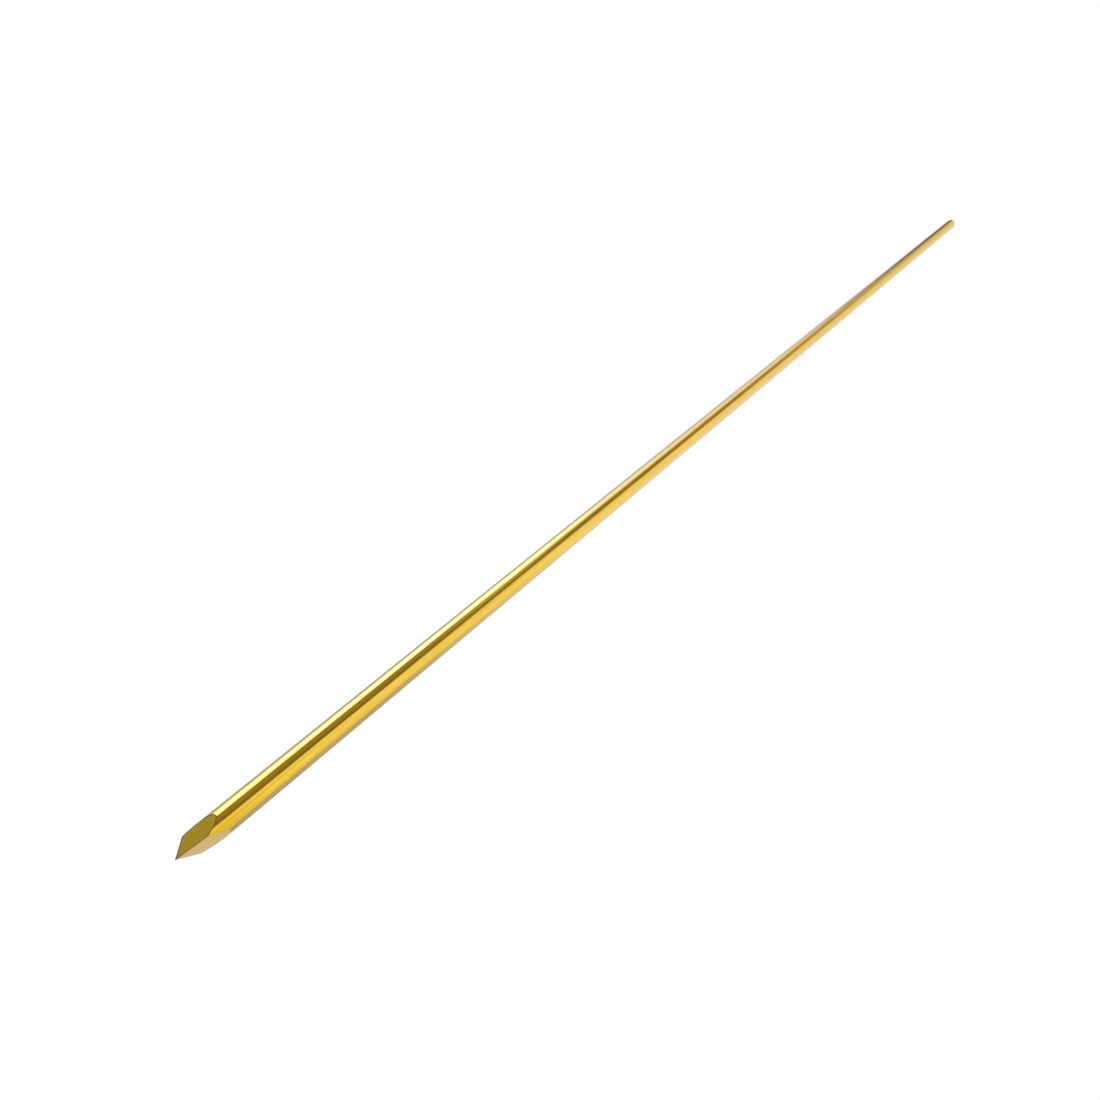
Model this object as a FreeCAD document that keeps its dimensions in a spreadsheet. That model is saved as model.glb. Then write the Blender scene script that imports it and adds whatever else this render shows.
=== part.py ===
import FreeCAD, Part
import os
import Sketcher
from FreeCAD import Placement, Rotation, Vector

# A slim rod-form plumb bob of brass, in millimetres, as it hangs: +Z up along its axis, the origin in the
# middle of the top face, where the cord enters. From the top it is made of a cord cap, a long round shaft and
# a point ground with three bevels. Cap and point each screw into the shaft with a right-hand thread, and each
# is kept from working loose by a rubber ring in the shaft's end. Each sub-part is modelled where it sits.

SIZES = [
    # name, value, meaning
    ("bar_diameter", 8.0, "the round bar that shaft, cap and point are all cut from"),
    ("overall_length", 968.0, "top face to tip"),
    ("cap_length", 12.0, "the part of the cap that shows"),
    ("top_break", 0.4, "broken edge round the top face"),
    ("cord_hole_diameter", 2.0, "hole that the cord comes out of"),
    ("mouth_break", 0.3, "broken edge of the cord hole, so that it doesn't cut the cord"),
    ("crown_thickness", 4.0, "metal above the knot chamber"),
    ("knot_chamber_diameter", 3.2, "room for the cord's stopper knot"),
    ("bevel_1_azimuth", -134.0, "degrees from +X round +Z to the middle of each bevel"),
    ("bevel_2_azimuth", -22.0, ""),
    ("bevel_3_azimuth", 95.0, ""),
    ("bevel_1_length", 15.6, "tip to the furthest reach of each bevel, along the axis"),
    ("bevel_2_length", 16.8, ""),
    ("bevel_3_length", 14.4, ""),
    ("ridge_1_flat", 0.35, "widest part of the flats on the ridges from bevel 1 to 2, 2 to 3 and 3 to 1"),
    ("ridge_2_flat", 0.1, ""),
    ("ridge_3_flat", 0.1, ""),
    ("point_land", 1.6, "round length between the longest bevel and the point's shoulder"),
    ("grinding_stock", 2.0, "extra length of the blank that grinding takes away"),
    ("thread_diameter", 6.0, "outside of the cap's and the point's thread"),
    ("thread_pitch", 1.0, "advance for one turn"),
    ("thread_depth", 0.5, "height of the ridge above the core, in pitches"),
    ("thread_crest", 0.12, "flat width of the ridge's top, in pitches"),
    ("thread_flank", 30.0, "degrees from square of the ridge's sides"),
    ("thread_length", 8.0, "threaded length of the spigot"),
    ("thread_margin", 0.5, "spigot length left without a ridge at each end of the thread"),
    ("thread_gap", 0.1, "clearance of the shaft's thread all round the spigot's"),
    ("spigot_break", 0.4, "broken edge of the spigot's end"),
    ("bore_spare", 1.8, "how much deeper the tapped hole goes than the spigot"),
    ("drill_point", 118.0, "degrees across the cone that the drill leaves at the hole's end"),
    ("neck_undercut", 0.2, "how far the plain neck, where the ring sits, lies below the thread's core"),
    ("neck_spare", 0.2, "how much longer the neck is than the ring's seat is deep"),
    ("ring_section", 0.9, "thickness of the rubber ring"),
    ("ring_gap", 0.05, "clearance of the ring to each wall round it"),
    ("bite", 0.1, "how far a thread's profile starts inside the wall that it joins"),
]

PARTS = "parts"
os.makedirs(PARTS, exist_ok=True)
doc = FreeCAD.newDocument("plumb_bob")

sizes = doc.addObject("Spreadsheet::Sheet", "sizes")
for row, (name, value, meaning) in enumerate(SIZES, start=1):
    sizes.set(f"A{row}", name)
    sizes.set(f"B{row}", str(value))
    sizes.set(f"C{row}", meaning)
    sizes.setAlias(f"B{row}", name)
doc.recompute()

# Radii and heights that several sub-parts share, as expressions on the sheet.
BAR = "sizes.bar_diameter / 2"
LONGEST_BEVEL = "max(sizes.bevel_1_length; sizes.bevel_2_length; sizes.bevel_3_length)"
TIP = "-sizes.overall_length"
CAP_SHOULDER = "-sizes.cap_length"
POINT_SHOULDER = f"{TIP} + {LONGEST_BEVEL} + sizes.point_land"
MAJOR = "sizes.thread_diameter / 2"
CORE = f"({MAJOR} - sizes.thread_depth * sizes.thread_pitch)"
BORE = f"({CORE} + sizes.thread_gap)"
NECK = f"({CORE} - sizes.neck_undercut)"
SEAT = f"({NECK} + sizes.ring_section + 2 * sizes.ring_gap)"
SEAT_DEPTH = "(sizes.ring_section + 2 * sizes.ring_gap)"
NECK_LENGTH = f"({SEAT_DEPTH} + sizes.neck_spare)"
SPIGOT_LENGTH = f"({NECK_LENGTH} + sizes.thread_length)"
BORE_DEPTH = f"({SPIGOT_LENGTH} + sizes.bore_spare)"
FLANK = "(sizes.thread_flank * 1 deg)"


def number(expression):
    """What an expression on the sheet comes to now."""
    return float(sizes.evalExpression(expression))


def new_body(name):
    body = doc.addObject("PartDesign::Body", name)
    body.Label = name
    body.Placement = Placement()
    return body


def new_sketch(body, name, azimuth=None):
    """A sketch whose x is the radius and y the height, on the body's XZ plane or turned to an azimuth."""
    sketch = body.newObject("Sketcher::SketchObject", name)
    plane = next(f for f in body.Origin.OriginFeatures if f.Role == "XZ_Plane")
    sketch.AttachmentSupport = (plane, [""])
    sketch.MapMode = "FlatFace"
    if azimuth:
        sketch.AttachmentOffset = Placement(Vector(), Rotation(Vector(0, 1, 0), number(azimuth)))
        sketch.setExpression("AttachmentOffset.Rotation.Angle", azimuth)
    return sketch


def outline(body, name, corners, azimuth=None):
    """A closed outline of straight lines, with every corner's radius and height bound to the sheet."""
    sketch = new_sketch(body, name, azimuth)
    places = [Vector(number(x), number(y), 0) for x, y in corners]
    count = len(corners)
    for i, place in enumerate(places):
        sketch.addGeometry(Part.LineSegment(place, places[(i + 1) % count]), False)
    for i in range(count):
        sketch.addConstraint(Sketcher.Constraint("Coincident", i, 2, (i + 1) % count, 1))
    for i, (place, bound) in enumerate(zip(places, corners)):
        for kind, value, expression in zip(("DistanceX", "DistanceY"), place, bound):
            at = sketch.addConstraint(Sketcher.Constraint(kind, -1, 1, i, 1, value))
            sketch.setExpression(f"Constraints[{at}]", expression)
    return sketch


def turn(body, kind, name, corners):
    """Turns an outline round the axis: PartDesign::Revolution adds it, PartDesign::Groove cuts it away."""
    sketch = outline(body, f"{name}_outline", corners)
    feature = body.newObject(kind, name)
    feature.Profile = sketch
    feature.ReferenceAxis = (sketch, ["V_Axis"])
    feature.Angle = 360
    sketch.Visibility = False
    return feature


def cut_thread(body, kind, name, foot, gap, low, length):
    """A right-hand thread's ridge, or, grown by the gap on every side, the groove that such a ridge runs in.

    Both start in the XZ plane, whole turns apart, so that a spigot's ridge lies in its socket's groove.
    """
    top = f"{MAJOR} + {gap}"
    crest = "sizes.thread_crest * sizes.thread_pitch / 2"
    at_top = f"({crest} + {gap} * (1 - sin({FLANK})) / cos({FLANK}))"
    at_foot = f"({at_top} + ({top} - ({foot})) * tan({FLANK}))"
    sketch = outline(
        body,
        f"{name}_outline",
        [
            (foot, f"{low} - {at_foot}"),
            (top, f"{low} - {at_top}"),
            (top, f"{low} + {at_top}"),
            (foot, f"{low} + {at_foot}"),
        ],
    )
    feature = body.newObject(kind, name)
    feature.Profile = sketch
    feature.ReferenceAxis = (sketch, ["V_Axis"])
    feature.Mode = "pitch-height-angle"
    feature.setExpression("Pitch", "sizes.thread_pitch")
    feature.setExpression("Height", length)
    feature.LeftHanded = False
    feature.Reversed = False
    sketch.Visibility = False
    return feature


def lowest_ridge(shoulder, into):
    """Height of a spigot's lowest turn. into is + where it points up from its shoulder, - for down."""
    if into == "+":
        return f"({shoulder} + {NECK_LENGTH} + sizes.thread_margin)"
    return f"({shoulder} - {SPIGOT_LENGTH} + sizes.thread_margin)"


RIDGE_LENGTH = "(sizes.thread_length - 2 * sizes.thread_margin)"


def spigot_corners(shoulder, into):
    """The spigot's outline from the shoulder to its end: the ring's neck, then the thread's core."""
    end = f"{shoulder} {into} {SPIGOT_LENGTH}"
    back = "-" if into == "+" else "+"
    return [
        (NECK, shoulder),
        (NECK, f"{shoulder} {into} {NECK_LENGTH}"),
        (CORE, f"{shoulder} {into} {NECK_LENGTH}"),
        (CORE, f"{end} {back} sizes.spigot_break"),
        (f"{CORE} - sizes.spigot_break", end),
    ]


def spigot_thread(body, shoulder, into):
    foot = f"{CORE} - sizes.bite"
    low = lowest_ridge(shoulder, into)
    return cut_thread(body, "PartDesign::AdditiveHelix", "thread", foot, "0", low, RIDGE_LENGTH)


def tapped_socket(body, name, shoulder, into):
    """The hole that a spigot screws into: the ring's seat, the bore with its drill point, and the thread."""
    bore_end = f"{shoulder} {into} {BORE_DEPTH}"
    turn(
        body,
        "PartDesign::Groove",
        f"{name}_bore",
        [
            ("0", shoulder),
            (SEAT, shoulder),
            (SEAT, f"{shoulder} {into} {SEAT_DEPTH}"),
            (BORE, f"{shoulder} {into} {SEAT_DEPTH}"),
            (BORE, bore_end),
            ("0", f"{bore_end} {into} {BORE} / tan(sizes.drill_point * 0.5 deg)"),
        ],
    )
    # the groove goes one turn deeper than the ridge, and two turns past it at the mouth, out into the seat
    foot = f"{BORE} - sizes.bite"
    turns_below = 2 if into == "+" else 1
    low = f"({lowest_ridge(shoulder, into)} - {turns_below} * sizes.thread_pitch)"
    length = f"{RIDGE_LENGTH} + 3 * sizes.thread_pitch"
    kind = "PartDesign::SubtractiveHelix"
    return cut_thread(body, kind, f"{name}_thread", foot, "sizes.thread_gap", low, length)


# The shaft: one length of drawn round bar, faced square and tapped at both ends.
shaft = new_body("shaft")
turn(
    shaft,
    "PartDesign::Revolution",
    "bar",
    [("0", POINT_SHOULDER), (BAR, POINT_SHOULDER), (BAR, CAP_SHOULDER), ("0", CAP_SHOULDER)],
)
tapped_socket(shaft, "top", CAP_SHOULDER, "-")
tapped_socket(shaft, "bottom", POINT_SHOULDER, "+")

# The cord cap: turned from the same bar. The cord goes up through the knot chamber and out of the top hole,
# and its stopper knot bears on the cone at the chamber's end.
cord_cap = new_body("cord_cap")
HOLE = "sizes.cord_hole_diameter / 2"
CHAMBER = "sizes.knot_chamber_diameter / 2"
cap_end = f"{CAP_SHOULDER} - {SPIGOT_LENGTH}"
turn(
    cord_cap,
    "PartDesign::Revolution",
    "turned",
    [
        (f"{HOLE} + sizes.mouth_break", "0"),
        (f"{BAR} - sizes.top_break", "0"),
        (BAR, "-sizes.top_break"),
        (BAR, CAP_SHOULDER),
        *spigot_corners(CAP_SHOULDER, "-"),
        (CHAMBER, cap_end),
        (CHAMBER, f"-sizes.crown_thickness - {CHAMBER} + {HOLE}"),
        (HOLE, "-sizes.crown_thickness"),
        (HOLE, "-sizes.mouth_break"),
    ],
)
spigot_thread(cord_cap, CAP_SHOULDER, "-")

# The point: a blank of the same bar with a spigot like the cap's, ground from the tip with three bevels. The
# ridges between the bevels are stoned to narrow flats, which run out to nothing at the tip.
point = new_body("point")
blank_end = f"{TIP} - sizes.grinding_stock"
turn(
    point,
    "PartDesign::Revolution",
    "turned",
    [
        ("0", blank_end),
        (BAR, blank_end),
        (BAR, POINT_SHOULDER),
        *spigot_corners(POINT_SHOULDER, "+"),
        ("0", f"{POINT_SHOULDER} + {SPIGOT_LENGTH}"),
    ],
)
spigot_thread(point, POINT_SHOULDER, "+")


def grind(body, name, azimuth, reach):
    """Takes away all outside a plane that starts at the tip and leaves the bar at the given reach."""
    clear = 1.25
    side = f"{BAR} * {clear}"
    rise = f"{reach} * {clear}"
    sketch = outline(
        body,
        f"{name}_outline",
        [
            (f"-{side}", f"{TIP} - {rise}"),
            (side, f"{TIP} - {rise}"),
            (side, f"{TIP} + {rise}"),
        ],
        azimuth,
    )
    feature = body.newObject("PartDesign::Pocket", name)
    feature.Profile = sketch
    feature.Type = "ThroughAll"
    feature.SideType = "Symmetric"
    sketch.Visibility = False
    return feature


for i in (1, 2, 3):
    grind(point, f"bevel_{i}", f"sizes.bevel_{i}_azimuth", f"sizes.bevel_{i}_length")


def slope(i, wave):
    """One component of the way that bevel i climbs: its length times the cosine or sine of its azimuth."""
    return f"sizes.bevel_{i}_length * {wave}(sizes.bevel_{i}_azimuth * 1 deg)"


for i, following in ((1, 2), (2, 3), (3, 1)):
    rise = f"{slope(following, 'sin')} - {slope(i, 'sin')}"
    run = f"{slope(following, 'cos')} - {slope(i, 'cos')}"
    azimuth = f"(atan2({rise}; {run}) - 90 deg)"
    apart = f"({azimuth} - sizes.bevel_{i}_azimuth * 1 deg)"
    crossing = f"sizes.bevel_{i}_length * cos({apart})"
    lift = f"sizes.bevel_{i}_length * sin({apart}) * sizes.ridge_{i}_flat / sizes.bar_diameter"
    grind(point, f"ridge_{i}", azimuth, f"({crossing} + {lift})")


def rubber_ring(name, shoulder, into):
    """A rubber ring on a spigot's neck, in the middle of its seat."""
    body = new_body(name)
    sketch = new_sketch(body, "section")
    radius = "sizes.ring_section / 2"
    middle = [f"({NECK} + {SEAT}) / 2", f"{shoulder} {into} {SEAT_DEPTH} / 2"]
    centre = Vector(number(middle[0]), number(middle[1]), 0)
    sketch.addGeometry(Part.Circle(centre, Vector(0, 0, 1), number(radius)), False)
    for kind, value, expression in zip(("DistanceX", "DistanceY"), centre, middle):
        at = sketch.addConstraint(Sketcher.Constraint(kind, -1, 1, 0, 3, value))
        sketch.setExpression(f"Constraints[{at}]", expression)
    at = sketch.addConstraint(Sketcher.Constraint("Radius", 0, number(radius)))
    sketch.setExpression(f"Constraints[{at}]", radius)
    ring = body.newObject("PartDesign::Revolution", "ring")
    ring.Profile = sketch
    ring.ReferenceAxis = (sketch, ["V_Axis"])
    ring.Angle = 360
    sketch.Visibility = False
    return body


cap_ring = rubber_ring("cap_ring", CAP_SHOULDER, "-")
point_ring = rubber_ring("point_ring", POINT_SHOULDER, "+")

doc.recompute()
for thing in doc.Objects:
    if {"Invalid", "Error"} & set(thing.State):
        raise RuntimeError(f"{thing.Label} failed: {thing.State}")
for body in (shaft, cord_cap, point, cap_ring, point_ring):
    if body.Shape.isNull() or not body.Shape.isValid():
        raise RuntimeError(f"{body.Label} has no valid shape")
    if len(body.Shape.Solids) != 1:
        raise RuntimeError(f"{body.Label} has {len(body.Shape.Solids)} solids")

for body in (shaft, cord_cap, point, cap_ring, point_ring):
    body.Shape.exportStep(os.path.join(PARTS, f"{body.Label}.step"))
    box = body.Shape.optimalBoundingBox()
    print(f"{body.Label}: {body.Shape.Volume:.2f} mm3, z {box.ZMin:.2f} to {box.ZMax:.2f}")
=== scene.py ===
import math
import bmesh
import bpy
from mathutils import Euler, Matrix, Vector


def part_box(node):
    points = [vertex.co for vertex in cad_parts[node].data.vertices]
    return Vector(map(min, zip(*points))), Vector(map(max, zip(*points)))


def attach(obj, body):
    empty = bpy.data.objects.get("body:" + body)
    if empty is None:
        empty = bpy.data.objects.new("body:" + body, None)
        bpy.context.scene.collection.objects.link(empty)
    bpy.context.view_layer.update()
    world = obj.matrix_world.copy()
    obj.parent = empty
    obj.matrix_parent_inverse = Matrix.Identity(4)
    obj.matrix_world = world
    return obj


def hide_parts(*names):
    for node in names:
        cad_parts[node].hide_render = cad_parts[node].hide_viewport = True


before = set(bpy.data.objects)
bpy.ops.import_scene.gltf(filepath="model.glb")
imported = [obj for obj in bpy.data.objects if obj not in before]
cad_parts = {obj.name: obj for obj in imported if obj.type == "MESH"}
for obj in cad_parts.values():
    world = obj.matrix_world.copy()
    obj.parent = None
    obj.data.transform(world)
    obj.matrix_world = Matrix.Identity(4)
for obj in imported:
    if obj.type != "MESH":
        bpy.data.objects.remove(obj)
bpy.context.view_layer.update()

# A slim rod-form plumb bob of brass, hanging with +Z up: a cord cap, a long round shaft and a ground point.
# Meshes are turned up in millimetres about the bob's axis and brought to metres when they are finished.


# ---- The shaft -------------------------------------------------------------------------------------------
# A length of round brass bar, drawn through a die, polished and dipped in clear lacquer. Its ends are faced
# square, and in each is a tapped hole, with a seat bored round its mouth for a rubber ring.

MM = 0.001
shaft_low, shaft_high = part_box("shaft")
bar = shaft_high.x / MM  # radius
top_shoulder = shaft_high.z / MM
bottom_shoulder = shaft_low.z / MM

seat = 3.3  # radii
bore = 2.6
thread_core = 2.5
thread_crown = 3.0
thread_gap = 0.1  # clearance of the tapped thread all round the cut one
seat_depth = 1.0
bore_depth = 11.0
drill_half_angle = math.radians(59)
pitch = 1.0
thread_flank = math.radians(30)
crest = 0.06  # half the width of the thread's flat top
thread_bite = 0.1  # how far a thread's foot lies inside the wall it stands on
first_turn = 1.7  # shoulder to the thread's first turn, along the spigot
threaded = 7.0
run_out = 0.25  # turns over which the thread rises from its core
run_out_start = 0.02  # how much of its height it starts with, so that it is never flat
run_through = 2.0  # how far the tapped thread runs past the cut one at the mouth
run_below = 1.0  # and at its inner end
shoulder_edge = 0.02  # where two pieces butt, the corner is left almost sharp, so that the joint closes
worn_edge = 0.05  # every other corner is just taken off
round_steps = 144
thread_steps = 72
bar_cuts = 47  # rings of vertices along the plain bar
touching = 1e-4  # vertices nearer than this are one


def wire(corners, rounded=None):
    """A profile through corners (radius, height), open or closed, whose corners are rounded as rounded says.

    rounded is {index of the corner: radius}, and any other corner stays sharp.
    """
    bm = bmesh.new()
    verts = [bm.verts.new((radius, 0, height)) for radius, height in corners]
    pairs = list(zip(verts, verts[1:]))
    if corners[0][0] or corners[-1][0]:
        pairs.append((verts[-1], verts[0]))
    for pair in pairs:
        bm.edges.new(pair)
    by_size = {}
    for index, size in (rounded or {}).items():
        by_size.setdefault(size, []).append(verts[index])
    for size, group in by_size.items():
        bmesh.ops.bevel(
            bm, geom=group, offset=size, affect="VERTICES", segments=3, profile=0.5, material=-1
        )
    return bm


def turned(bm, steps=round_steps):
    """Turns a profile about the Z axis into a closed shell."""
    geometry = bm.verts[:] + bm.edges[:]
    bmesh.ops.spin(bm, geom=geometry, axis=(0, 0, 1), angle=math.tau, steps=steps, use_merge=True)
    bmesh.ops.remove_doubles(bm, verts=bm.verts, dist=touching)
    bmesh.ops.recalc_face_normals(bm, faces=bm.faces)
    return bm


def thread(foot, crown, half_top, lowest, turns, fade=0.0):
    """A right-hand thread as a closed coil.

    With a fade, in turns, it rises out of its foot at one end and sinks back into it at the other.
    """
    half_foot = half_top + (crown - foot) * math.tan(thread_flank)
    bm = wire(
        [
            (foot, lowest - half_foot),
            (crown, lowest - half_top),
            (crown, lowest + half_top),
            (foot, lowest + half_foot),
        ]
    )
    bmesh.ops.spin(
        bm,
        geom=bm.verts[:] + bm.edges[:],
        axis=(0, 0, 1),
        dvec=(0, 0, pitch / thread_steps),
        angle=math.tau * turns,
        steps=round(thread_steps * turns),
    )
    bmesh.ops.holes_fill(bm, edges=[e for e in bm.edges if e.is_boundary], sides=4)
    bmesh.ops.recalc_face_normals(bm, faces=bm.faces)
    if not fade:
        return bm
    for vert in bm.verts:
        turn = math.atan2(vert.co.y, vert.co.x) / math.tau
        along = turn + round((vert.co.z - lowest) / pitch - turn)
        from_end = min(along, turns - along)
        height = min(1, max(run_out_start, from_end / fade))
        radius = math.hypot(vert.co.x, vert.co.y)
        scale = (foot + (radius - foot) * height) / radius
        vert.co.x *= scale
        vert.co.y *= scale
    return bm


def combined(bm, tool, operation):
    """The shell bm with the shell tool added (UNION) or cut away (DIFFERENCE)."""
    objects = []
    for shell in (bm, tool):
        mesh = bpy.data.meshes.new("shell")
        shell.to_mesh(mesh)
        shell.free()
        objects.append(bpy.data.objects.new("shell", mesh))
        bpy.context.scene.collection.objects.link(objects[-1])
    body, cutter = objects
    modifier = body.modifiers.new("combine", "BOOLEAN")
    modifier.operation = operation
    modifier.object = cutter
    modifier.solver = "EXACT"
    depsgraph = bpy.context.evaluated_depsgraph_get()
    result = bmesh.new()
    result.from_object(body, depsgraph)
    for thing in objects:
        mesh = thing.data
        bpy.data.objects.remove(thing)
        bpy.data.meshes.remove(mesh)
    bmesh.ops.remove_doubles(result, verts=result.verts, dist=touching)
    return result


def socket_corners(shoulder, into):
    """The tapped hole's outline, from the seat's mouth to the drill point on the axis.

    into is the way into the shaft from its shoulder: +1 upwards, -1 downwards.
    """
    return [
        (seat, shoulder),
        (seat, shoulder + into * seat_depth),
        (bore, shoulder + into * seat_depth),
        (bore, shoulder + into * bore_depth),
        (0, shoulder + into * (bore_depth + bore / math.tan(drill_half_angle))),
    ]


def tapped(bm, shoulder, into):
    """Cuts the socket's thread, which runs past the spigot's at both ends, out into the ring's seat."""
    half_top = crest + thread_gap * (1 - math.sin(thread_flank)) / math.cos(thread_flank)
    past_low = run_through if into > 0 else run_below
    lowest = shoulder + into * first_turn - (0 if into > 0 else threaded) - past_low
    turns = (threaded + run_through + run_below) / pitch
    tool = thread(bore - thread_bite, thread_crown + thread_gap, half_top, lowest, turns)
    return combined(bm, tool, "DIFFERENCE")


def machined(name, bm, materials, body, node):
    """Finishes a turned piece: metres, shading that breaks at its corners, materials, body and CAD node.

    What has the first material is round. What has another is a ground facet, which is flat.
    """
    sharp = math.radians(12)
    bmesh.ops.scale(bm, vec=(MM, MM, MM), verts=bm.verts)
    for face in bm.faces:
        face.smooth = face.material_index == 0
    for edge in bm.edges:
        edge.smooth = edge.is_manifold and edge.calc_face_angle(0) < sharp
    mesh = bpy.data.meshes.new(name)
    bm.to_mesh(mesh)
    bm.free()
    piece = bpy.data.objects.new(name, mesh)
    bpy.context.scene.collection.objects.link(piece)
    for material in materials:
        mesh.materials.append(material)
    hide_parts(node)
    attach(piece, body)
    return piece


def linear(code):
    """An sRGB hex colour as linear RGBA."""
    channels = [int(code[i:i + 2], 16) / 255 for i in (0, 2, 4)]
    return [c / 12.92 if c <= 0.04045 else ((c + 0.055) / 1.055) ** 2.4 for c in channels] + [1.0]


def add(tree, kind, inputs=None, **settings):
    """Adds a node. settings are its own properties, and inputs its sockets' values or what feeds them."""
    node = tree.nodes.new(kind)
    for name, value in settings.items():
        setattr(node, name, value)
    for name, value in (inputs or {}).items():
        if isinstance(value, bpy.types.NodeSocket):
            tree.links.new(value, node.inputs[name])
        else:
            node.inputs[name].default_value = value
    return node


def new_material(name):
    """An empty node material and its Principled shader."""
    material = bpy.data.materials.new(name)
    material.use_nodes = True
    tree = material.node_tree
    tree.nodes.clear()
    shader = add(tree, "ShaderNodeBsdfPrincipled")
    add(tree, "ShaderNodeOutputMaterial", {"Surface": shader.outputs["BSDF"]})
    return material, tree, shader


noise_low = 0.3  # most of a noise texture's values lie between these
noise_high = 0.7


def drawn_brass():
    """Drawn, polished and clear-lacquered brass.

    A mirror of deep yellow with the die's long fine lines in it, so that its bands of light are clean along
    the bar and a little streaked across it, under a thin coat whose own pale gloss shows at a slant.
    """
    band = 0.8 * MM  # the die's broad lines
    line = 0.15 * MM  # its fine ones, drawn about four times their real width so that they show
    length = 60 * MM
    material, tree, shader = new_material("drawn_lacquered_brass")
    place = add(tree, "ShaderNodeTexCoord").outputs["Object"]
    streaks = []
    for width in (band, line):
        scaled = add(
            tree,
            "ShaderNodeMapping",
            {"Vector": place, "Scale": (1 / width, 1 / width, 1 / length)},
            vector_type="POINT",
        )
        noise = add(
            tree,
            "ShaderNodeTexNoise",
            {"Vector": scaled.outputs["Vector"], "Scale": 1.0, "Detail": 3.0, "Roughness": 0.8},
        )
        streaks.append(noise.outputs["Fac"])
    broad, fine = streaks
    tone = add(
        tree,
        "ShaderNodeMapRange",
        {"Value": broad, "From Min": noise_low, "From Max": noise_high, "To Min": 0.0, "To Max": 1.0},
    )
    colour = add(
        tree,
        "ShaderNodeMix",
        {"Factor": tone.outputs["Result"], "A": linear("dcae0c"), "B": linear("edc818")},
        data_type="RGBA",
    )
    rough = add(
        tree,
        "ShaderNodeMapRange",
        {"Value": fine, "From Min": noise_low, "From Max": noise_high, "To Min": 0.03, "To Max": 0.07},
    )
    bump = add(
        tree, "ShaderNodeBump", {"Height": fine, "Strength": 1.0, "Distance": 0.0006 * MM}
    )
    tree.links.new(colour.outputs["Result"], shader.inputs["Base Color"])
    tree.links.new(rough.outputs["Result"], shader.inputs["Roughness"])
    tree.links.new(bump.outputs["Normal"], shader.inputs["Normal"])
    shader.inputs["Metallic"].default_value = 1.0
    shader.inputs["Specular Tint"].default_value = linear("f8e08a")
    shader.inputs["Coat Weight"].default_value = 1.0
    shader.inputs["Coat Roughness"].default_value = 0.02
    return material


brass = drawn_brass()
bm = wire(
    [
        *reversed(socket_corners(bottom_shoulder, 1)),
        (bar, bottom_shoulder),
        (bar, top_shoulder),
        *socket_corners(top_shoulder, -1),
    ],
    {1: worn_edge, 4: worn_edge, 5: shoulder_edge, 6: shoulder_edge, 7: worn_edge, 9: worn_edge},
)
longest = max(bm.edges, key=lambda e: e.calc_length())
bmesh.ops.subdivide_edges(bm, edges=[longest], cuts=bar_cuts)
bm = turned(bm)
bm = tapped(bm, bottom_shoulder, 1)
bm = tapped(bm, top_shoulder, -1)
shaft = machined("drawn_shaft", bm, [brass], "shaft", "shaft")


# ---- The rubber rings ------------------------------------------------------------------------------------
# A moulded nitrile ring lies on the neck of each spigot, in the seat in the shaft's end. It is squeezed there
# as the spigot is screwed home, and keeps it from working loose.


def moulded_rubber():
    """Moulded black nitrile rubber: nearly matte, slightly uneven, with a grey bloom of talc on it."""
    grain = 0.08 * MM
    bloom = 1.2 * MM
    material, tree, shader = new_material("moulded_nitrile_rubber")
    place = add(tree, "ShaderNodeTexCoord").outputs["Object"]
    fine = add(
        tree, "ShaderNodeTexNoise", {"Vector": place, "Scale": 1 / grain, "Detail": 3.0}
    ).outputs["Fac"]
    cloud = add(
        tree, "ShaderNodeTexNoise", {"Vector": place, "Scale": 1 / bloom, "Detail": 3.0}
    ).outputs["Fac"]
    colour = add(
        tree,
        "ShaderNodeMix",
        {"Factor": cloud, "A": linear("141414"), "B": linear("2c2b29")},
        data_type="RGBA",
    )
    rough = add(
        tree,
        "ShaderNodeMapRange",
        {"Value": cloud, "From Min": noise_low, "From Max": noise_high, "To Min": 0.5, "To Max": 0.75},
    )
    bump = add(
        tree, "ShaderNodeBump", {"Height": fine, "Strength": 0.6, "Distance": 0.01 * MM}
    )
    tree.links.new(colour.outputs["Result"], shader.inputs["Base Color"])
    tree.links.new(rough.outputs["Result"], shader.inputs["Roughness"])
    tree.links.new(bump.outputs["Normal"], shader.inputs["Normal"])
    shader.inputs["IOR"].default_value = 1.52
    return material


rubber = moulded_rubber()
for name in ("cap_ring", "point_ring"):
    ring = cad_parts[name]
    ring.data.materials.clear()
    ring.data.materials.append(rubber)


# ---- The cord cap ----------------------------------------------------------------------------------------
# Turned from the same bar as the shaft, with a threaded spigot. The cord goes up through the chamber that
# holds its knot and out of the small hole in the top face, whose corners are rounded so they don't cut it.

cap_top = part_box("cord_cap")[1].z / MM
neck = 2.3  # radii
cord_hole = 1.0
knot_chamber = 1.6
neck_length = 1.2
spigot_length = 9.2
spigot_break = 0.4  # broken edges
top_break = 0.4
mouth_break = 0.3
soft_edge = 0.1  # the top's broken edge is rounded over a little more than the rest
crown = 4.0  # metal above the knot chamber


def spigot_corners(shoulder, into):
    """A spigot's outline from its shoulder to its end: the ring's neck, the thread's core, the broken end."""
    end = shoulder + into * spigot_length
    return [
        (neck, shoulder),
        (neck, shoulder + into * neck_length),
        (thread_core, shoulder + into * neck_length),
        (thread_core, end - into * spigot_break),
        (thread_core - spigot_break, end),
    ]


def threaded_spigot(bm, shoulder, into):
    """Adds the thread to a spigot that stands on its piece's shoulder; into points the way it goes."""
    lowest = shoulder + into * first_turn - (0 if into > 0 else threaded)
    coil = thread(thread_core - thread_bite, thread_crown, crest, lowest, threaded / pitch, run_out)
    return combined(bm, coil, "UNION")


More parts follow.
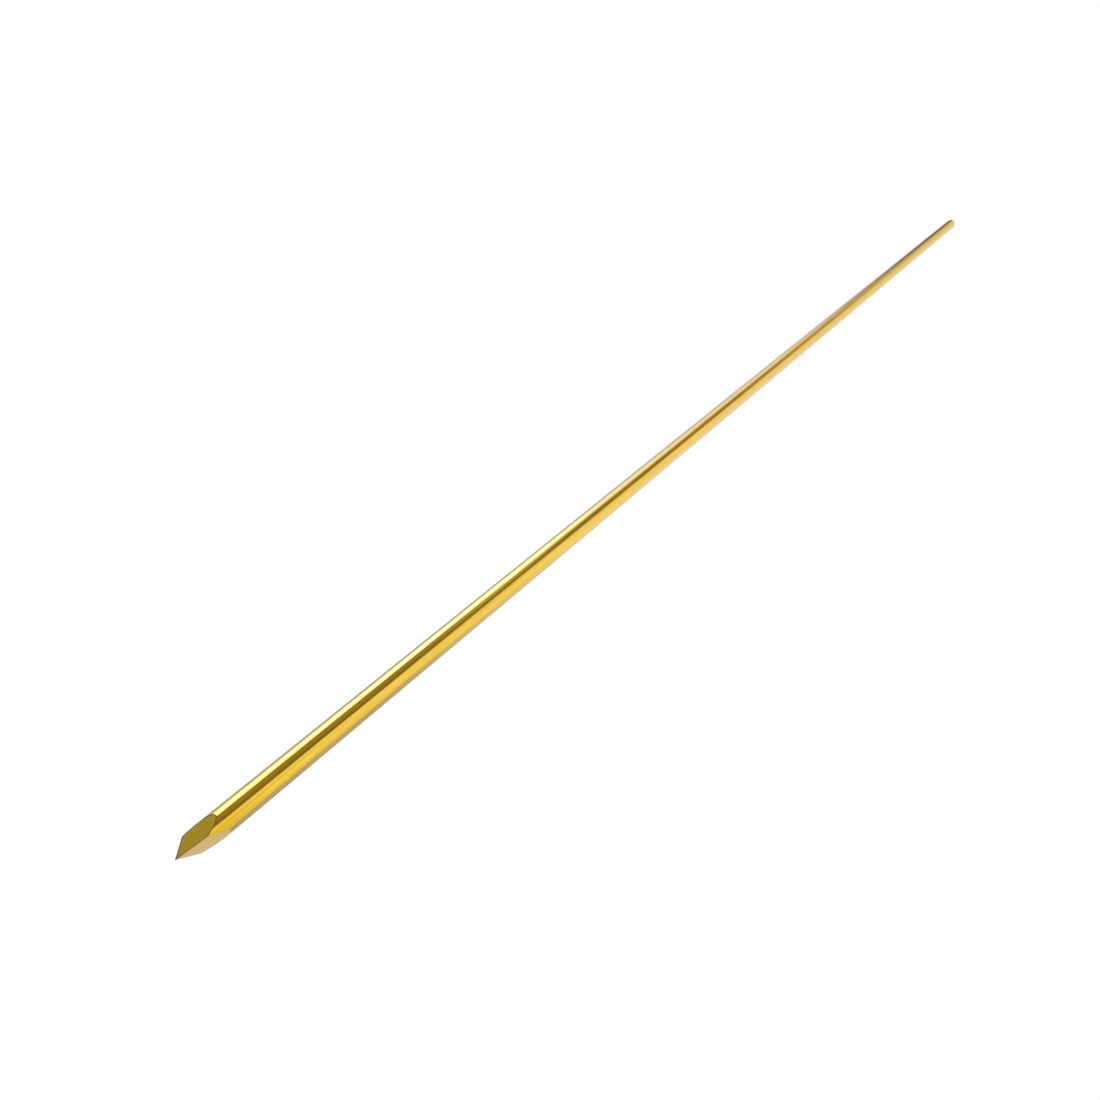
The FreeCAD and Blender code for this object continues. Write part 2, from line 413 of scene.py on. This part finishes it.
cap_end = top_shoulder - spigot_length
bm = wire(
    [
        (cord_hole + mouth_break, cap_top),
        (bar - top_break, cap_top),
        (bar, cap_top - top_break),
        (bar, top_shoulder),
        *spigot_corners(top_shoulder, -1),
        (knot_chamber, cap_end),
        (knot_chamber, cap_top - crown - knot_chamber + cord_hole),
        (cord_hole, cap_top - crown),
        (cord_hole, cap_top - mouth_break),
    ],
    {
        0: worn_edge,
        1: soft_edge,
        2: soft_edge,
        3: shoulder_edge,
        **{corner: worn_edge for corner in (7, 8, 9, 12)},
    },
)
bm = turned(bm)
bm = threaded_spigot(bm, top_shoulder, -1)
cap = machined("turned_cord_cap", bm, [brass], "cord_cap", "cord_cap")


# ---- The point -------------------------------------------------------------------------------------------
# A stub of the same bar with a spigot like the cap's. Three bevels are ground on it from the tip, each a
# little different, and the ridges between them are stoned to narrow flats that run out at the tip.

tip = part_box("point")[0].z / MM
bevels = [(-134.0, 15.6), (-22.0, 16.8), (95.0, 14.4)]  # azimuth in degrees, reach from the tip
ridge_flats = [0.35, 0.1, 0.1]  # each at its widest, from one bevel to the next
shaded_rim_widths = [0.25, 0.06, 0.15]  # width of the band of painted shade round each bevel, standing in for the shading of its rounded edge
grinding_stock = 2.0  # length of the blank that grinding takes away
on_plane = 2e-4  # how near to a cut a vertex counts as on it
tip_size = 0.01  # the bevels' corners within this of the tip are one point


def slope(azimuth, reach):
    """How a plane from the tip climbs, as a vector in the level plane: it leaves the bar at its reach."""
    return Vector((math.cos(azimuth), math.sin(azimuth))) * reach


def outward(climb):
    """The way that a plane's facet faces."""
    slant = math.atan2(bar, climb.length)
    return Euler((0, slant, math.atan2(climb.y, climb.x))).to_matrix() @ Vector((1, 0, 0))


def ground(bm, climb):
    """Takes away what lies outside a plane from the tip, and closes the cut with a flat facet."""
    cut = bmesh.ops.bisect_plane(
        bm,
        geom=bm.verts[:] + bm.edges[:] + bm.faces[:],
        dist=on_plane,
        plane_co=(0, 0, tip),
        plane_no=outward(climb),
        clear_outer=True,
    )
    rim = [e for e in cut["geom_cut"] if isinstance(e, bmesh.types.BMEdge)]
    for face in bmesh.ops.holes_fill(bm, edges=rim)["faces"]:
        face.material_index = 1


def ground_brass(name, dark, light):
    """Brass ground on a fine wheel and lacquered: the same yellow, but duller, with fine lines across it."""
    line = 0.15 * MM  # the grit's lines, drawn about four times their real width so that they show
    length = 4 * MM
    mottle = 1.5 * MM
    material, tree, shader = new_material(name)
    place = add(tree, "ShaderNodeTexCoord").outputs["Object"]
    scaled = add(
        tree,
        "ShaderNodeMapping",
        {"Vector": place, "Scale": (1 / length, 1 / length, 1 / line)},
        vector_type="POINT",
    )
    lines = add(
        tree,
        "ShaderNodeTexNoise",
        {"Vector": scaled.outputs["Vector"], "Scale": 1.0, "Detail": 3.0, "Roughness": 0.6},
    ).outputs["Fac"]
    patches = add(
        tree, "ShaderNodeTexNoise", {"Vector": place, "Scale": 1 / mottle, "Detail": 2.0}
    ).outputs["Fac"]
    colour = add(
        tree,
        "ShaderNodeMix",
        {"Factor": patches, "A": linear(dark), "B": linear(light)},
        data_type="RGBA",
    )
    rough = add(
        tree,
        "ShaderNodeMapRange",
        {"Value": lines, "From Min": noise_low, "From Max": noise_high, "To Min": 0.13, "To Max": 0.17},
    )
    bump = add(
        tree, "ShaderNodeBump", {"Height": lines, "Strength": 1.0, "Distance": 0.0002 * MM}
    )
    tree.links.new(colour.outputs["Result"], shader.inputs["Base Color"])
    tree.links.new(rough.outputs["Result"], shader.inputs["Roughness"])
    tree.links.new(bump.outputs["Normal"], shader.inputs["Normal"])
    shader.inputs["Metallic"].default_value = 1.0
    shader.inputs["Specular Tint"].default_value = linear("f8e08a")
    shader.inputs["Coat Weight"].default_value = 1.0
    shader.inputs["Coat Roughness"].default_value = 0.12
    return material


blank_end = tip - grinding_stock
bm = wire(
    [
        (0, blank_end),
        (bar, blank_end),
        (bar, bottom_shoulder),
        *spigot_corners(bottom_shoulder, 1),
        (0, bottom_shoulder + spigot_length),
    ],
    {2: shoulder_edge, 6: worn_edge, 7: worn_edge},
)
bm = turned(bm)
bm = threaded_spigot(bm, bottom_shoulder, 1)
climbs = [slope(math.radians(azimuth), reach) for azimuth, reach in bevels]
for climb in climbs:
    ground(bm, climb)
for climb, following, flat in zip(climbs, climbs[1:] + climbs[:1], ridge_flats):
    ridge = following - climb
    across = Vector((ridge.y, -ridge.x)).normalized()
    apart = across.angle_signed(climb)
    lift = abs(climb.length * math.sin(apart)) * flat / (2 * bar)
    ground(bm, across * (climb.dot(across) + lift))
at_tip = [vert for vert in bm.verts if (vert.co - Vector((0, 0, tip))).length < tip_size]
bmesh.ops.pointmerge(bm, verts=at_tip, merge_co=(0, 0, tip))
bmesh.ops.recalc_face_normals(bm, faces=bm.faces)
flats = [face for face in bm.faces if face.material_index == 1]
# Each bevel gets a flat band of painted shade round its edge, in its own plane, coloured dark to stand in for
# the shading of a rounded edge.
for climb, rim in zip(climbs, shaded_rim_widths):
    facet = max(flats, key=lambda face: face.normal.dot(outward(climb)))
    band = bmesh.ops.inset_individual(bm, faces=[facet], thickness=rim, use_even_offset=True)
    for face in band["faces"]:
        face.material_index = 2
wheel_ground = ground_brass("ground_lacquered_brass", "d6aa18", "e4b92e")
# The bands round the bevels are painted shade: a dark brown brass that stands in for the shading of their
# rounded edges and outlines the bevels.
rim_shade_material = ground_brass("painted_rim_shade_brass", "5f450c", "6e5112")
point = machined("ground_point", bm, [brass, wheel_ground, rim_shade_material], "point", "point")


# ---- The studio ------------------------------------------------------------------------------------------
# A pale floor under the hanging bob, and round it a white tent with one bright window, a black flag in front
# and a dimmer wall, which the polished bar shows as long bands. Seen directly, all but the floor is white.

floor_size = 4.0  # metres, radius
floor_level = -1.3
bpy.ops.mesh.primitive_circle_add(
    vertices=96, radius=floor_size, fill_type="NGON", location=(0, 0, floor_level)
)
floor = bpy.context.object
floor.name = "floor"
clouds_per_metre = 3.0
material, tree, shader = new_material("matt_cream_paint")
place = add(tree, "ShaderNodeTexCoord").outputs["Object"]
cloud = add(tree, "ShaderNodeTexNoise", {"Vector": place, "Scale": clouds_per_metre, "Detail": 2.0})
colour = add(
    tree,
    "ShaderNodeMix",
    {"Factor": cloud.outputs["Fac"], "A": linear("f0eedc"), "B": linear("f3f1df")},
    data_type="RGBA",
)
tree.links.new(colour.outputs["Result"], shader.inputs["Base Color"])
shader.inputs["Roughness"].default_value = 0.85
floor.data.materials.append(material)

world = bpy.data.worlds.new("studio")
bpy.context.scene.world = world
world.use_nodes = True
tree = world.node_tree
tree.nodes.clear()

direction = add(
    tree,
    "ShaderNodeSeparateXYZ",
    {"Vector": add(tree, "ShaderNodeTexCoord").outputs["Generated"]},
).outputs
slant = add(tree, "ShaderNodeMath", {0: direction["Z"]}, operation="ARCCOSINE").outputs[0]
from_top = add(tree, "ShaderNodeMath", {0: slant}, operation="DEGREES").outputs[0]
front = add(tree, "ShaderNodeMath", {0: direction["Y"], 1: -1.0}, operation="MULTIPLY").outputs[0]
bearing = add(tree, "ShaderNodeMath", {0: direction["X"], 1: front}, operation="ARCTAN2").outputs[0]
round_about = add(tree, "ShaderNodeMath", {0: bearing}, operation="DEGREES").outputs[0]


def within(value, low, high, soft):
    """1 between low and high, fading to 0 over soft degrees to either side of each end."""
    ends = [
        add(
            tree,
            "ShaderNodeMapRange",
            {"Value": value, "From Min": dark, "From Max": bright},
            interpolation_type="SMOOTHSTEP",
        ).outputs["Result"]
        for dark, bright in ((low - soft, low + soft), (high + soft, high - soft))
    ]
    return add(tree, "ShaderNodeMath", {0: ends[0], 1: ends[1]}, operation="MULTIPLY").outputs[0]


def glow(level, tint):
    """The colour of light of a brightness and a tint."""
    return [channel * level for channel in linear(tint)[:3]] + [1.0]


def lit(light, mask, colour):
    """The light so far, with another colour of light in its place where the mask is 1."""
    node = add(tree, "ShaderNodeMix", {"Factor": mask, "A": light, "B": colour}, data_type="RGBA")
    return node.outputs["Result"]


light = glow(1.4, "e5e8ff")  # the tent
# Each light, cloth or flag lies over the ones before it: between two bearings in degrees round from the front
# with the softness of those edges, between two angles from straight up with theirs, its brightness and tint.
for azimuths, across, polars, up, level, tint in (
    ((-400, 400), 9, (-40, 21), 14, 0.86, "fffeb9"),  # the lamp-warmed top of the tent
    ((14, 72), 4, (58, 130), 6, 0.9, "fffba1"),  # a cream cloth below it
    ((36, 54), 6, (54, 60), 3, 1.3, "f6ffee"),  # a lamp behind the tent, just above the cloth
    ((81, 250), 22, (44, 130), 9, 1.28, "b5b9ff"),  # the wall in shade, cool
    ((118, 250), 6, (66, 130), 6, 1.72, "b9c2ff"),  # and its lighter foot, behind the bob
    ((-200, -93), 16, (11, 130), 13, 1.25, "cadaff"),  # the wall on the window's side
    ((-118, -93), 8, (34, 130), 8, 2.2, "a8bcff"),  # the window's reveal
    ((-103, -58), 5, (36, 50), 14, 5.0, "92aaff"),  # the sky's blue through the window's top
    ((-101, -72), 4, (43, 71), 7, 9.0, "f4f4ff"),  # the window
    ((-140, -50), 8, (76, 130), 3, 0.45, "fbffd7"),  # below its sill
    ((-48, 4), 13, (17, 48), 12, 0.42, "ffe8cb"),  # a black flag's top
    ((-61, -1), 5, (44, 130), 5, 0.37, "ffebc0"),  # the flag
    ((-24, -6), 5, (30, 130), 5, 0.27, "ffe9e9"),  # and its fold
    ((-109, -50), 20, (3, 20), 5, 0.12, "ffffff"),  # the dark hole that the bob hangs through
    ((141, 250), 6, (-40, 76), 1, 0.45, "fff0d8"),  # far above and behind the bob it is dim
    ((-200, -134), 6, (-40, 76), 1, 0.45, "fff0d8"),
):
    sides = within(round_about, *azimuths, across)
    height = within(from_top, *polars, up)
    mask = add(tree, "ShaderNodeMath", {0: sides, 1: height}, operation="MULTIPLY").outputs[0]
    light = lit(light, mask, glow(level, tint))
seen = add(tree, "ShaderNodeLightPath").outputs["Is Camera Ray"]
light = lit(light, seen, glow(1.0, "ffffff"))
background = add(tree, "ShaderNodeBackground", {"Color": light, "Strength": 1.0})
add(tree, "ShaderNodeOutputWorld", {"Surface": background.outputs["Background"]})

camera_in_front = 0.2860  # of the axis
camera_below = 0.1429  # the tip
camera_turns = (152.3932, -29.5663, -43.1759)  # degrees
camera_data = bpy.data.cameras.new("camera")
camera_data.lens = 36.0
camera_data.sensor_width = 36.0
camera_data.clip_start = 0.01
camera = bpy.data.objects.new("camera", camera_data)
bpy.context.scene.collection.objects.link(camera)
camera.location = Vector((0, -camera_in_front, tip * MM - camera_below))
camera.rotation_euler = Euler([math.radians(turn) for turn in camera_turns])
bpy.context.scene.camera = camera
bpy.context.scene.view_settings.view_transform = "Standard"
